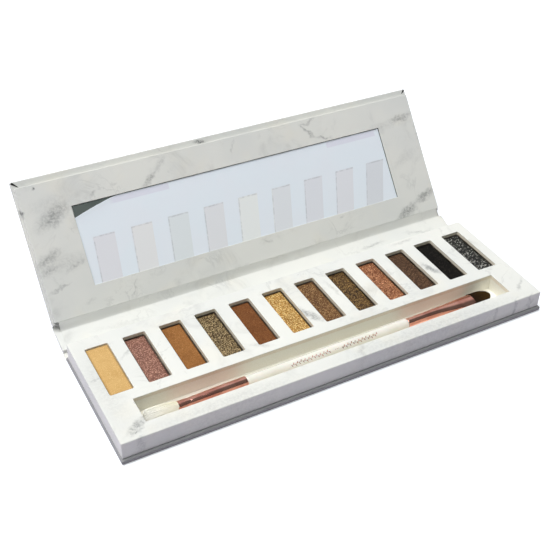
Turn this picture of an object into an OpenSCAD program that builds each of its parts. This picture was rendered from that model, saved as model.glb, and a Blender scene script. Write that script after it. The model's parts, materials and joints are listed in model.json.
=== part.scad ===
// Twelve-pan eyeshadow palette with a double-ended brush and a mirror in the lid.
// The cover is a book: a base board, a narrow spine board and a lid board, joined
// by two paper creases. The lid leans back on the open spine.
// Origin: centre of the base board's underside. +X is the length, +Y points from the
// user to the spine, +Z is up.

/* [Tray] */
// Length of the tray, end to end
tray_length = 210; // [208:1:226]
// Depth of the tray, front to back
tray_depth = 64; // [64:1:68]
// Height of the tray above the base board
tray_height = 8.5; // [8.5:0.5:11]
// Thickness of the wrapped greyboard
board = 2; // [1.8:0.1:2.2]
// Thickness of the four tray walls
wall = 1.6; // [1.2:0.1:2]

/* [Cover] */
// How far the cover stands out past each end of the tray
end_overhang = 0.6; // [0.4:0.1:2]
// How far the cover stands out past the tray's front and back
front_overhang = 1.2; // [0.8:0.1:2]
// Width of each paper crease between two boards
crease_gap = 4.4; // [4.4:0.1:6]
// Gap between the tray and the lid panel when the lid is shut
closing_gap = 0.3; // [0.2:0.1:0.6]
// Angle of the spine board above level, as stored
spine_angle = 16; // [0:1:40]
// Angle of the lid past the spine board, as stored
lid_angle = 34.3; // [0:0.1:40]

/* [Pans] */
// Number of pans in the row
pan_count = 12; // [2:2:12]
// Distance from one pan to the next
pan_pitch = 17.1; // [16.6:0.1:17.1]
// Width of each window in the tray top
window_width = 10.4; // [9:0.1:12]
// Length of each window, front to back
window_length = 30.6; // [26:0.1:32]
// Distance from the windows to the back of the tray
window_margin = 6.9; // [5:0.1:7.5]
// Height of each pan
pan_height = 3.6; // [2.4:0.1:3.8]
// How far the first powder is heaped above its pan's rim
first_heap = 1.2; // [0:0.1:1.3]

/* [Brush] */
// Length of the brush well
well_length = 183.4; // [182:0.1:190]
// Width of the brush well, front to back
well_width = 13.8; // [12.6:0.1:14]
// Distance from the well to the front of the tray
well_margin = 7; // [6.6:0.1:7]
// Radius of the brush handle
handle_r = 2.5; // [2.3:0.1:2.6]
// Length of the bare handle between its two ferrules
handle_length = 82.8; // [70:0.1:84]
// Angle at which the brush lies in its well
brush_yaw = 0.45; // [-0.5:0.05:0.5]

/* [Mirror] */
// Length of the mirror window in the lid panel
mirror_length = 165; // [120:0.1:180]
// Height of the mirror window
mirror_height = 37.1; // [30:0.1:40]
// Distance from the upper crease to the mirror window
mirror_margin = 14.7; // [12:0.1:17]
// Thickness of the mirror glass
mirror_glass = 1.2; // [1:0.1:1.3]

/* [Hidden] */
$fn = 48;

function numbered(prefix) = [for (i = [1 : pan_count]) str(prefix, i < 10 ? "_0" : "_", i)];
PANS = numbered("pan");
POWDERS = numbered("powder");

// The colours of the sheets, metals and powders
marble = "#eeefeb";
lining = "#e6e5df";
greyboard = "#b9b4aa";
rose_gold = "#c98f78";
powder_colours = ["#e8c382", "#8c5f55", "#a56e3c", "#6e5a3c", "#7d4b28", "#c89b50",
                  "#6e482d", "#5f462d", "#a55f41", "#553a2a", "#1e1d1c", "#373734"];

// Sheets and clearances
paper = 0.3;
slip = 0.2;
window_corner = 0.6;

// The tray, in layers from the base board up
floor_z = board;
tray_z = board + tray_height;
top_z = tray_z - board;
half_length = tray_length / 2;
half_depth = tray_depth / 2;
inner_half_length = half_length - wall;
inner_half_depth = half_depth - wall;
pan_recess = 1.6;
pan_top = tray_z - pan_recess;
pan_floor = pan_top - pan_height;
deck_thickness = 1;
deck_z = pan_floor - deck_thickness;

// The row of windows
window_y = half_depth - window_margin - window_length / 2;
function window_x(i) = (i - (pan_count - 1) / 2) * pan_pitch;

// Each pan and the powder pressed in it
pan_width = window_width - 2 * slip;
pan_length = window_length - 2 * slip;
pan_corner = 0.9;
tin = 0.4;
powder_drop = 0.2;

// The brush well
well_wall = 1.2;
well_y = -half_depth + well_margin + well_width / 2;
well_rear = well_y + well_width / 2 + well_wall;

// The cover's boards and creases
cover_length = tray_length + 2 * end_overhang;
base_depth = tray_depth + 2 * front_overhang;
crease_half = crease_gap / 2;
crease_y = base_depth / 2 + crease_half;
crease_z = paper / 2;
spine_length = tray_height + closing_gap + 3 * board - paper;
lid_depth = crease_y + base_depth / 2;
board_face = board - crease_z;
panel_face = board_face + board;
panel_inset = 1.2;
panel_end_inset = 1.1;
panel_top_inset = 3.4;
panel_top = lid_depth - panel_top_inset;
liner_length = cover_length - 5.4;
liner_grip = 1.2;

// The catch: block magnets in the lid over steel plates in the tray
catch_x = tray_length * 0.3;
catch_y = -inner_half_depth + 2.1;
catch_plate = [12, 3.6, 1];
magnet = [10, 2.4, 1.4];
magnet_y = panel_top - 0.9 - magnet[1] / 2;

// The mirror's layers and the bare corner of its film
tape = 0.2;
film = 0.1;
mirror_slip = 0.2;
bare_corner = [21.6, 5.4];

// The brush, measured along its own axis from the middle of the tray
ferrule_r = handle_r + 0.15;
brush_z = floor_z + paper + 0.15 + ferrule_r;
brush_y = well_y + 0.05;
handle_start = 39 - handle_length;
handle_end = handle_start + handle_length;
tenon = 8;
tenon_r = 1.98;
bore_r = 2;
blending_ferrule_length = 32.6;
blending_head_length = 14.4;
blending_neck_r = 2.3;
blending_head_r = 3.3;
shader_ferrule_length = 37.5;
shader_head_length = 10.5;
shader_width = 7.6;
shader_thickness = 3.2;
head_root = 5;

// Lays a profile drawn in (Y, Z) along the X axis
module along_x(length) {
    rotate([90, 0, 90]) linear_extrude(length, center = true) children();
}

// Places children in the spine board's frame: +Y up the spine, +Z towards the user
module at_spine() {
    translate([0, crease_y, crease_z]) rotate([spine_angle, 0, 0]) children();
}

// Places children in the lid's frame: +Y up the lid, +Z out of its inner face
module at_lid() {
    at_spine() translate([0, spine_length, 0]) rotate([lid_angle, 0, 0]) children();
}

// Places children with +Z along the brush
module at_brush() {
    translate([0, brush_y, brush_z]) rotate([0, 0, brush_yaw]) rotate([0, 90, 0]) children();
}

// A block centred in X and Y that stands on z
module block(size, z = 0) {
    translate([-size[0] / 2, -size[1] / 2, z]) cube(size);
}

// A rectangle with round corners, centred
module round_rect(width, depth, r) {
    square([width - 2 * r, depth], center = true);
    square([width, depth - 2 * r], center = true);
    for (x = [-1, 1], y = [-1, 1])
        translate([x * (width / 2 - r), y * (depth / 2 - r)]) circle(r);
}

// One hole for each pan
module window_row() {
    for (i = [0 : pan_count - 1])
        translate([window_x(i), window_y]) round_rect(window_width, window_length, window_corner);
}

// A sheet of thickness t that follows the points of its lower face
function heading(a, b) = (b - a) / norm(b - a);
function left_of(d) = [-d[1], d[0]];
function mitre(p, i) =
    let (n = len(p) - 1,
         before = left_of(heading(p[max(i - 1, 0)], p[max(i, 1)])),
         after = left_of(heading(p[min(i, n - 1)], p[min(i + 1, n)])))
    (before + after) / (1 + before * after);
function sheet(p, t) =
    concat(p, [for (i = [len(p) - 1 : -1 : 0]) p[i] + t * mitre(p, i)]);
function turned(p, angle) =
    [p[0] * cos(angle) - p[1] * sin(angle), p[0] * sin(angle) + p[1] * cos(angle)];

// The outer paper across one crease, bent by an angle about the origin
module crease_profile(angle) {
    outer_bend = crease_z * tan(angle / 2);
    polygon(sheet([[-crease_half, -crease_z], [outer_bend, -crease_z],
                   turned([crease_half, -crease_z], angle)], paper));
}

module base_board() {
    color(marble) block([cover_length, base_depth, board]);
}

module long_tray_wall(side) {
    color(marble)
        translate([0, side * (half_depth - wall / 2), 0])
            block([tray_length, wall, top_z - floor_z], floor_z);
}

module short_tray_wall(side) {
    color(marble)
        translate([side * (half_length - wall / 2), 0, 0])
            block([wall, 2 * inner_half_depth, top_z - floor_z], floor_z);
}

module tray_top() {
    color(marble)
        translate([0, 0, top_z]) linear_extrude(board) difference() {
            square([tray_length, tray_depth], center = true);
            window_row();
            translate([0, well_y]) square([well_length, well_width], center = true);
        }
}

// Die-cut board under the tray top: each pocket holds one pan upright
module pan_carrier() {
    color(greyboard)
        translate([0, 0, pan_floor]) linear_extrude(top_z - pan_floor) difference() {
            translate([-inner_half_length, well_rear])
                square([2 * inner_half_length, inner_half_depth - well_rear]);
            window_row();
        }
}

// Board that the pans are glued to
module pan_deck() {
    color(greyboard)
        translate([-inner_half_length, well_rear, deck_z])
            cube([2 * inner_half_length, inner_half_depth - well_rear, deck_thickness]);
}

// Three strips that hold the deck above the base board
module deck_risers() {
    riser = 3;
    span = inner_half_depth - well_rear - riser;
    color(greyboard)
        for (i = [0 : 2])
            translate([-inner_half_length, well_rear + i * span / 2, floor_z])
                cube([2 * inner_half_length, riser, deck_z - floor_z]);
}

module well_floor_lining() {
    color(lining) translate([0, well_y, 0]) block([well_length, well_width, paper], floor_z);
}

module long_well_wall(side) {
    color(lining)
        translate([0, well_y + side * (well_width + well_wall) / 2, 0])
            block([well_length + 2 * well_wall, well_wall, top_z - floor_z], floor_z);
}

module short_well_wall(side) {
    color(lining)
        translate([side * (well_length + well_wall) / 2, well_y, 0])
            block([well_wall, well_width, top_z - floor_z], floor_z);
}

// Two steel plates under the tray top, near the front edge
module catch_plates() {
    color("#9a9ca0")
        for (side = [-1, 1])
            translate([side * catch_x, catch_y, 0]) block(catch_plate, top_z - catch_plate[2]);
}

// Pressed-tin pan with an open top
module pan(i) {
    color("#b8b2a8")
        translate([window_x(i), window_y, pan_floor]) difference() {
            linear_extrude(pan_height) round_rect(pan_width, pan_length, pan_corner);
            translate([0, 0, tin])
                linear_extrude(pan_height)
                    round_rect(pan_width - 2 * tin, pan_length - 2 * tin, pan_corner - tin);
        }
}

// Pressed powder: the first is heaped, the others end just below the rim
module powder(i) {
    rise = i == 0 ? first_heap : -powder_drop;
    color(powder_colours[i])
        translate([window_x(i), window_y, pan_floor + tin])
            linear_extrude(pan_height - tin + rise)
                round_rect(pan_width - 2 * tin, pan_length - 2 * tin, pan_corner - tin);
}

module lower_crease() {
    color(marble)
        translate([0, crease_y, crease_z]) along_x(cover_length) crease_profile(spine_angle);
}

// Inner paper from the base board, behind the tray, to the spine board
module lower_liner() {
    on_spine = [crease_y, crease_z];
    color(lining) along_x(liner_length) polygon(sheet([
        [half_depth, board],
        [base_depth / 2, board],
        on_spine + turned([crease_half, board_face], spine_angle),
        on_spine + turned([crease_half + liner_grip, board_face], spine_angle)], paper));
}

module spine_board() {
    color(marble)
        at_spine()
            translate([-cover_length / 2, crease_half, -crease_z])
                cube([cover_length, spine_length - crease_gap, board]);
}

module spine_lining() {
    start = crease_half + liner_grip;
    color(lining)
        at_spine()
            translate([-liner_length / 2, start, board_face])
                cube([liner_length, spine_length - 2 * start, paper]);
}

module upper_crease() {
    color(marble)
        at_spine() translate([0, spine_length, 0]) along_x(cover_length) crease_profile(lid_angle);
}

// Inner paper from the spine board up to the lower edge of the lid panel
module upper_liner() {
    on_lid = [spine_length, 0];
    color(lining) at_spine() along_x(liner_length) polygon(sheet([
        [spine_length - crease_half - liner_grip, board_face],
        [spine_length - crease_half, board_face],
        on_lid + turned([crease_half + panel_inset, panel_face], lid_angle)], paper));
}

module lid_board() {
    color(marble)
        at_lid()
            translate([-cover_length / 2, crease_half, -crease_z])
                cube([cover_length, lid_depth - crease_half, board]);
}

// Inner panel that frames the mirror and hides the two magnets
module lid_panel() {
    width = cover_length - 2 * panel_end_inset;
    depth = panel_top - crease_half - panel_inset;
    color(marble)
        at_lid() difference() {
            translate([-width / 2, crease_half + panel_inset, board_face])
                cube([width, depth, board]);
            translate([-mirror_length / 2, mirror_margin, 0])
                cube([mirror_length, mirror_height, 3 * board]);
            magnet_pair();
        }
}

// The two magnets in the lid's frame: they meet the catch plates when the lid is shut
module magnet_pair() {
    for (side = [-1, 1])
        translate([side * catch_x, magnet_y, 0]) block(magnet, board_face);
}

module lid_magnets() {
    color("#8e9094") at_lid() magnet_pair();
}

// The outline of the mirror glass, drawn on the lid
module mirror_outline() {
    translate([-mirror_length / 2 + mirror_slip, mirror_margin + mirror_slip])
        square([mirror_length - 2 * mirror_slip, mirror_height - 2 * mirror_slip]);
}

module mirror_tape() {
    color("#c9c7c0")
        at_lid() translate([0, 0, board_face]) linear_extrude(tape) mirror_outline();
}

module mirror_glass_plate() {
    color("#d5dee8")
        at_lid()
            translate([0, 0, board_face + tape]) linear_extrude(mirror_glass) mirror_outline();
}

// Cloudy protective film: it leaves the mirror's upper left corner bare
module mirror_film() {
    corner = [-mirror_length / 2 + mirror_slip, mirror_margin + mirror_height - mirror_slip];
    color("#dfe6ee")
        at_lid()
            translate([0, 0, board_face + tape + mirror_glass]) linear_extrude(film) difference() {
                mirror_outline();
                polygon([corner + [-1, 1], corner + [bare_corner[0], 1],
                         corner + [bare_corner[0], 0], corner + [0, -bare_corner[1]],
                         corner + [-1, -bare_corner[1]]]);
            }
}

// Lacquered handle with a tenon in each ferrule
module brush_handle() {
    color("#f2f1ec")
        at_brush() rotate_extrude() polygon([
            [0, handle_start - tenon], [tenon_r, handle_start - tenon],
            [tenon_r, handle_start], [handle_r, handle_start],
            [handle_r, handle_end], [tenon_r, handle_end],
            [tenon_r, handle_end + tenon], [0, handle_end + tenon]]);
}

// A rolled crimp: a shallow groove round the ferrule
module crimp(z, r) {
    translate([0, 0, z]) rotate_extrude() translate([r + 0.15, 0]) circle(0.3);
}

// Round ferrule that tapers towards the fluffy head
module blending_ferrule() {
    tip = handle_start - blending_ferrule_length;
    taper = handle_start - blending_ferrule_length * 0.3;
    color(rose_gold)
        at_brush() difference() {
            rotate_extrude() polygon([
                [bore_r, tip], [blending_neck_r, tip], [ferrule_r, taper],
                [ferrule_r, handle_start], [bore_r, handle_start]]);
            crimp(tip + 6.2, blending_neck_r + 0.1);
        }
}

// Domed fluffy head: its underside is flattened by the well's floor
module blending_head() {
    neck = handle_start - blending_ferrule_length;
    dome = 4.4;
    shoulder = neck - blending_head_length + dome;
    color("#f0ead8")
        at_brush() difference() {
            rotate_extrude() polygon(concat(
                [[0, neck + head_root], [tenon_r, neck + head_root], [tenon_r, neck],
                 [blending_neck_r, neck]],
                [for (a = [0 : 10 : 90])
                    [blending_head_r * cos(a), shoulder - dome * sin(a)]]));
            translate([ferrule_r, -5, shoulder - 2 * dome]) cube([5, 10, 4 * dome]);
        }
}

// A flat oval, wide in Y, that is t thick
module oval(width, t) {
    square([t, width - t], center = true);
    for (side = [-1, 1]) translate([0, side * (width - t) / 2]) circle(t / 2, $fn = 32);
}

module oval_slice(z, width, t) {
    translate([0, 0, z]) linear_extrude(0.1) oval(width, t);
}

// Ferrule that starts round on the handle and is pressed flat at the head
module shader_ferrule() {
    mouth = handle_end + shader_ferrule_length;
    color(rose_gold)
        at_brush() difference() {
            hull() {
                translate([0, 0, handle_end])
                    cylinder(shader_ferrule_length * 0.4, r = ferrule_r, $fn = 32);
                oval_slice(mouth - 0.1, shader_width, shader_thickness);
            }
            translate([0, 0, handle_end - 1]) cylinder(tenon + 2, r = bore_r);
            translate([0, 0, mouth - head_root - 1])
                linear_extrude(head_root + 2) oval(shader_width - 0.8, shader_thickness - 0.8);
        }
}

// Flat filbert head with a rounded tip
module shader_head() {
    mouth = handle_end + shader_ferrule_length;
    color("#3a2514")
        at_brush() {
            translate([0, 0, mouth - head_root])
                linear_extrude(head_root + 0.1) oval(shader_width - 0.84, shader_thickness - 0.84);
            hull() {
                oval_slice(mouth, shader_width - 0.5, shader_thickness - 0.5);
                oval_slice(mouth + shader_head_length * 0.35, shader_width + 0.5, 3);
                oval_slice(mouth + shader_head_length * 0.7, shader_width - 0.8, 2.2);
                oval_slice(mouth + shader_head_length * 0.92, shader_width - 3.6, 1.4);
                oval_slice(mouth + shader_head_length - 0.1, 2, 0.8);
            }
        }
}

base_board();
long_tray_wall(-1);  // tray_wall_front
long_tray_wall(1);  // tray_wall_rear
short_tray_wall(-1);  // tray_wall_left
short_tray_wall(1);  // tray_wall_right
tray_top();
pan_carrier();
pan_deck();
deck_risers();
well_floor_lining();
long_well_wall(-1);  // well_wall_front
long_well_wall(1);  // well_wall_rear
short_well_wall(-1);  // well_wall_left
short_well_wall(1);  // well_wall_right
catch_plates();
for (i = [0 : pan_count - 1]) {
    pan(i);
    powder(i);
}
lower_crease();
lower_liner();
spine_board();
spine_lining();
upper_crease();
upper_liner();
lid_board();
lid_panel();
mirror_tape();
mirror_glass_plate();
mirror_film();
lid_magnets();
brush_handle();
blending_ferrule();
blending_head();
shader_ferrule();
shader_head();
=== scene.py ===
"""Twelve-pan eyeshadow palette in marble-print paper, with a mirror and a double-ended brush."""
import json
import math
import random

import bmesh
import bpy
from mathutils import Matrix, Vector, geometry, noise


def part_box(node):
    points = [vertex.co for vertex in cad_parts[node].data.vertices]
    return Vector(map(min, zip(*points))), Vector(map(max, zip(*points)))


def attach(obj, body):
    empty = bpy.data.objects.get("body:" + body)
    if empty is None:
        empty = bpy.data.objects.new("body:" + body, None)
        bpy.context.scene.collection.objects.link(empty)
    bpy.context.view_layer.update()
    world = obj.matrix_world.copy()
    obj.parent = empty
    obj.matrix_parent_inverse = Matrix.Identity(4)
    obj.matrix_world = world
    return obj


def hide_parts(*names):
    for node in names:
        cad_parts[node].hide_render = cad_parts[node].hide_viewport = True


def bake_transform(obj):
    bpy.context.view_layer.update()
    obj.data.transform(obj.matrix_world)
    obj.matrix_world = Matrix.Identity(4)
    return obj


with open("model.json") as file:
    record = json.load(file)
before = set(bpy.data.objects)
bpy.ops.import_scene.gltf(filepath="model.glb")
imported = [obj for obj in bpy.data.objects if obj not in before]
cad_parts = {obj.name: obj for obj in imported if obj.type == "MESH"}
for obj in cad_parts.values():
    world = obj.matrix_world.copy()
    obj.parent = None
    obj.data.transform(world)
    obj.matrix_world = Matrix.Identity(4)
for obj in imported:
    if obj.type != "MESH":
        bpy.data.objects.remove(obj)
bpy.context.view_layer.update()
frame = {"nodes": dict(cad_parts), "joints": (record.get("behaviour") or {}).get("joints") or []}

MM = 0.001
PAPER = 0.3 * MM
FERRULE_BORE = 1.97 * MM
ROLLED_EDGE = 0.06 * MM

JOINTS = {joint["name"]: joint for joint in frame["joints"]}
SPINE_ANGLE = math.radians(-JOINTS["spine_fold"]["range_deg"][0])
LID_ANGLE = SPINE_ANGLE + math.radians(-JOINTS["lid_fold"]["range_deg"][0])
LOWER_AXIS = Vector(JOINTS["spine_fold"]["pos_m"])
UPPER_AXIS = Vector(JOINTS["lid_fold"]["pos_m"])
BRUSH_YAW = math.radians(0.45)
TOWARDS_USER = math.radians(128)

# Places: each turns a board's own coordinates (x along, y up the board, z out of its inner face)
AT_BASE = Matrix.Identity(4)
AT_SPINE = Matrix.Translation(LOWER_AXIS) @ Matrix.Rotation(SPINE_ANGLE, 4, "X")
AT_LID = Matrix.Translation(UPPER_AXIS) @ Matrix.Rotation(LID_ANGLE, 4, "X")


def middle(box):
    """The centre of a box given by two corners."""
    return (box[0] + box[1]) / 2


def local_box(node, place):
    """Lowest and highest corner of a CAD node in the coordinates of a place."""
    inverse = place.inverted()
    points = [inverse @ vertex.co for vertex in frame["nodes"][node].data.vertices]
    low = Vector([min(point[i] for point in points) for i in range(3)])
    high = Vector([max(point[i] for point in points) for i in range(3)])
    return low, high


# The brush: x along it from the handle's middle, z up
AT_BRUSH = Matrix.Translation(middle(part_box("brush_handle"))) @ Matrix.Rotation(BRUSH_YAW, 4, "Z")


# ---------------- materials

def linear(red, green, blue):
    """A colour of 0 to 255 display values as Blender's linear colour."""
    def channel(value):
        value /= 255
        return value / 12.92 if value <= 0.04045 else ((value + 0.055) / 1.055) ** 2.4
    return (channel(red), channel(green), channel(blue), 1.0)


class Graph:
    """A node tree, built node by node."""

    def __init__(self, tree):
        self.tree = tree

    def feed(self, socket, value):
        if isinstance(value, bpy.types.NodeSocket):
            self.tree.links.new(value, socket)
        else:
            socket.default_value = value

    def add(self, kind, inputs=None, **settings):
        node = self.tree.nodes.new("ShaderNode" + kind)
        for name, value in settings.items():
            setattr(node, name, value)
        for key, value in (inputs or {}).items():
            self.feed(node.inputs[key], value)
        return node

    def calc(self, operation, first, *others):
        """One sum through two or more values, from left to right."""
        for other in others or (0.0,):
            first = self.add("Math", {0: first, 1: other}, operation=operation).outputs[0]
        return first

    def times(self, *values):
        return self.calc("MULTIPLY", *values)

    def minus(self, *values):
        return self.calc("SUBTRACT", *values)

    def largest(self, *values):
        return self.calc("MAXIMUM", *values)

    def step(self, value, low, high, start=0.0, end=1.0):
        """Rises smoothly from start at low to end at high."""
        return self.add("MapRange", {
            "Value": value, "From Min": low, "From Max": high, "To Min": start,
            "To Max": end}, interpolation_type="SMOOTHSTEP").outputs[0]

    def between(self, value, low, full, fade, high):
        """1 from full to fade, and 0 below low and above high."""
        return self.times(self.step(value, low, full), self.step(value, high, fade))

    def mix(self, share, first, second):
        """A mix of two colours: sockets, display values as 3 numbers, or linear ones as 4."""
        colours = {6: first, 7: second}
        for key, colour in colours.items():
            if isinstance(colour, tuple) and len(colour) == 3:
                colours[key] = linear(*colour)
        return self.add("Mix", {0: share, **colours}, data_type="RGBA").outputs[2]

    def split(self, vector):
        return self.add("SeparateXYZ", {0: vector}).outputs


class Look(Graph):
    """One procedural material."""

    def __init__(self, name, **surface):
        self.material = bpy.data.materials.new(name)
        self.material.use_nodes = True
        super().__init__(self.material.node_tree)
        self.shader = self.tree.nodes["Principled BSDF"]
        self.set(**surface)

    def set(self, **surface):
        for name, value in surface.items():
            self.feed(self.shader.inputs[name.replace("_", " ")], value)

    def millimetres(self, place=AT_BASE):
        """The point in a place's own coordinates, in millimetres."""
        inverse = place.inverted()
        where = self.add("TexCoord").outputs["Object"]
        return self.add("Mapping", {
            "Vector": where, "Scale": (1 / MM, 1 / MM, 1 / MM), "Rotation": inverse.to_euler(),
            "Location": inverse.translation / MM}).outputs[0]

    def scaled(self, point, *scale):
        return self.add("Mapping", {"Vector": point, "Scale": scale}).outputs[0]

    def noise(self, point, scale, detail=4.0, roughness=0.55, distortion=0.0):
        return self.add("TexNoise", {
            "Vector": point, "Scale": scale, "Detail": detail, "Roughness": roughness,
            "Distortion": distortion}).outputs[0]

    def bump(self, height, distance, strength=1.0):
        node = self.add("Bump", {"Height": height, "Distance": distance, "Strength": strength})
        self.set(Normal=node.outputs[0])


def vein_clouds(look, point, clouds):
    """Strength of the vein clouds and painted-shade bands: each has two ends, a half width and a
    depth.
    """
    wobble = look.add("TexNoise", {"Vector": point, "Scale": 0.28, "Detail": 5.0}).outputs[1]
    shift = look.add("VectorMath", {0: wobble, 1: (0.5, 0.5, 0.5)}, operation="SUBTRACT")
    drift = look.add("VectorMath", {0: shift.outputs[0], 3: 5.0}, operation="SCALE")
    moved = look.add("VectorMath", {0: point, 1: drift.outputs[0]}).outputs[0]
    total = 0.0
    for x0, y0, x1, y1, half_width, depth in clouds:
        # An ellipsoid round the two ends, in whose own frame its surface lies at length 1
        inside = look.add("Mapping", {
            "Vector": moved, "Location": ((x0 + x1) / 2, (y0 + y1) / 2, 0),
            "Rotation": (0, 0, math.atan2(y1 - y0, x1 - x0)),
            "Scale": (math.hypot(x1 - x0, y1 - y0) / 2 + half_width, half_width, 1000)},
            vector_type="TEXTURE").outputs[0]
        reach = look.add("VectorMath", {0: inside}, operation="LENGTH").outputs["Value"]
        total = look.largest(total, look.step(reach, 1.25, 0.1, 0.0, depth))
    return total


def marble_paper(name, place=AT_BASE, clouds=(), painted_shade=0.0):
    """Satin paper printed with grey-veined white marble; its last argument mixes in a bluish grey
    as painted shade over the whole board.
    """
    look = Look(name, Roughness=0.42, Specular_IOR_Level=0.35)
    point = look.millimetres(place)
    broad = look.noise(point, 0.022, 3.0)
    base = look.mix(look.step(broad, 0.35, 0.65), (229, 229, 223), (222, 223, 219))
    warm = look.noise(point, 0.05, 2.0)
    base = look.mix(look.step(warm, 0.52, 0.75, 0.0, 0.5), base, (231, 228, 217))
    # Thin veins, where a warped noise crosses its middle value
    crossing = look.calc("ABSOLUTE", look.minus(look.noise(point, 0.042, 6.0, 0.6, 1.4), 0.5))
    here = look.step(look.noise(point, 0.035, 2.0), 0.5, 0.66)
    vein = look.times(look.step(crossing, 0.03, 0.0), here, 0.15)
    # Mottled clouds, with any painted-shade bands among them, and a faint haze everywhere
    grain = look.noise(point, 0.75, 7.0, 0.68, 0.6)
    speckle = look.step(grain, 0.36, 0.64, 0.32, 1.0)
    cloud = look.times(vein_clouds(look, point, clouds), speckle)
    haze = look.step(look.noise(point, 0.06, 5.0, 0.62, 0.8), 0.52, 0.76)
    ink = look.largest(vein, cloud, look.times(haze, 0.17))
    colour = look.mix(ink, base, (84, 86, 88))
    fibre = look.noise(point, 6.0, 3.0, 0.6)
    # Painted shade: the colour is mixed towards a bluish grey by the last argument
    look.set(Base_Color=look.mix(painted_shade, colour, (98, 98, 106)),
             Roughness=look.step(fibre, 0.3, 0.7, 0.36, 0.5))
    look.bump(look.noise(point, 2.4, 5.0, 0.6), 0.03 * MM, 0.5)
    return look.material


def fibrous(name, dark, light, scale=3.0, roughness=0.8, depth=0.04 * MM):
    """Paper or board with fine fibres."""
    look = Look(name, Roughness=roughness, Specular_IOR_Level=0.3)
    point = look.millimetres()
    tone = look.noise(point, scale, 6.0, 0.65)
    cloudy = look.noise(point, scale * 0.03, 2.0)
    fibre = look.step(tone, 0.3, 0.7)
    base = look.mix(fibre, dark, light)
    look.set(Base_Color=look.mix(look.step(cloudy, 0.4, 0.7, 0.0, 0.35), base, dark))
    look.bump(tone, depth)
    return look.material


def metal(name, dark, light, roughness, scale=(1.2, 1.2, 1.2), wear=0.08, place=AT_BASE):
    """Metal with fine polishing marks and cloudy tarnish."""
    look = Look(name, Metallic=1.0, Roughness=roughness)
    point = look.millimetres(place)
    marks = look.noise(look.scaled(point, *scale), 2.0, 5.0, 0.6)
    tone = look.noise(point, 0.16, 4.0)
    look.set(Base_Color=look.mix(look.step(tone, 0.35, 0.7), light, dark),
             Roughness=look.step(marks, 0.3, 0.75, roughness - wear, roughness + wear))
    look.bump(marks, 0.01 * MM, 0.35)
    return look.material


def lacquer():
    """Glossy cream-white lacquer with a faint orange peel."""
    look = Look("white_lacquer", Roughness=0.25, Coat_Weight=0.6, Coat_Roughness=0.06,
                Subsurface_Weight=0.1, Subsurface_Scale=0.002)
    point = look.millimetres(AT_BRUSH)
    tone = look.noise(point, 0.09, 3.0)
    look.set(Base_Color=look.mix(look.step(tone, 0.35, 0.7), (238, 236, 228), (231, 228, 217)))
    look.bump(look.noise(point, 1.4, 3.0), 0.02 * MM, 0.4)
    return look.material


def mirror_glass():
    """Silvered glass with a faint haze of fingerprints."""
    look = Look("mirror_glass", Metallic=1.0, Roughness=0.03)
    point = look.millimetres(AT_LID)
    smear = look.step(look.noise(point, 0.12, 4.0, 0.6), 0.45, 0.7)
    look.set(Base_Color=look.mix(smear, (226, 234, 230), (212, 221, 217)),
             Roughness=look.step(smear, 0.0, 1.0, 0.03, 0.08))
    return look.material


# Painted reflection of the tray's pans on the mirror's film: the first pan's left edge, the pitch,
# one pan's share of the pitch, the height, how far they lean and spread from their foot to their
# top, in mm
PAN_REFLECTION_START, PAN_REFLECTION_PITCH, PAN_REFLECTION_SHARE, PAN_REFLECTION_HEIGHT = -79.1, 17.83, 0.585, 21.0
PAN_REFLECTION_LEAN, PAN_REFLECTION_SPREAD = 4.38, 0.0314
PAN_REFLECTION_TINTS = [(231, 231, 236), (236, 236, 236), (228, 234, 236), (231, 232, 235), (240, 243, 241),
              (230, 233, 237), (229, 231, 237), (231, 232, 237), (223, 226, 231)]


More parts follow.
